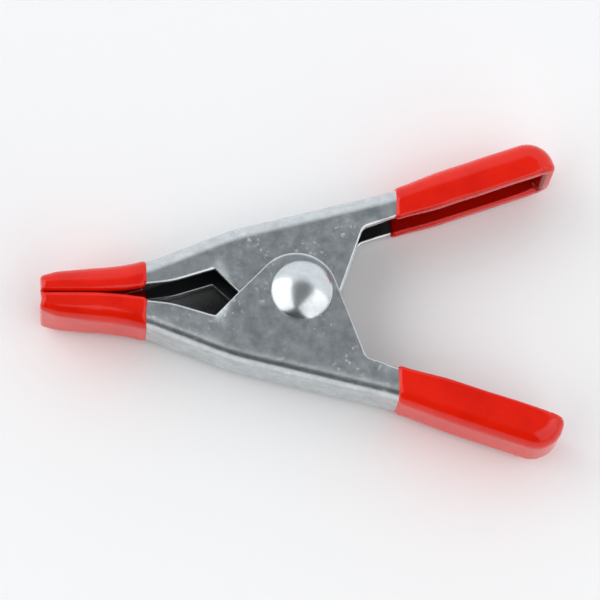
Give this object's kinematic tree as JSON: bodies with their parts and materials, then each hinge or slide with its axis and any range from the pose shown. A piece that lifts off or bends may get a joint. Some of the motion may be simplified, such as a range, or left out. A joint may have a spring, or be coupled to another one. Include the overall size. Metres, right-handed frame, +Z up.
{
  "type": "spring clamp",
  "caption": "Hand spring clamp: pressed-steel channel levers crossed on a rivet, closed by a coil spring, with dipped red vinyl jaw tips and handle grips.",
  "frame": {"origin": "on the rivet's axis, level with the underside of its rolled end, the clamp lying flat with its jaws closed", "axes": "+X along the centre line towards the jaw tips, +Y towards the outer lever's web, +Z up through the rivet's domed head"},
  "size_m": [0.1014, 0.0616, 0.0191],
  "materials": {
    "zinc_plated_steel": "worn bright zinc plate",
    "rivet_steel": "bright zinc plate, smooth",
    "spring_steel": "dark drawn wire",
    "red_vinyl": "glossy dipped vinyl"
  },
  "bodies": {
    "outer_half": {"outer_lever": "zinc_plated_steel", "outer_jaw_tip": "red_vinyl", "outer_grip": "red_vinyl", "rivet": "rivet_steel", "torsion_spring": "spring_steel"},
    "inner_half": {"inner_lever": "zinc_plated_steel", "inner_jaw_tip": "red_vinyl", "inner_grip": "red_vinyl"}
  },
  "joints": [
    {"name": "jaw_hinge", "type": "hinge", "parent": "outer_half", "child": "inner_half", "pos_m": [0, 0, 0.00877], "axis": [0, 0, -1], "range_deg": [0, 51], "stiffness_Nm_per_rad": 1.2, "springref_deg": -45.84, "deforming": ["torsion_spring"]}
  ]
}
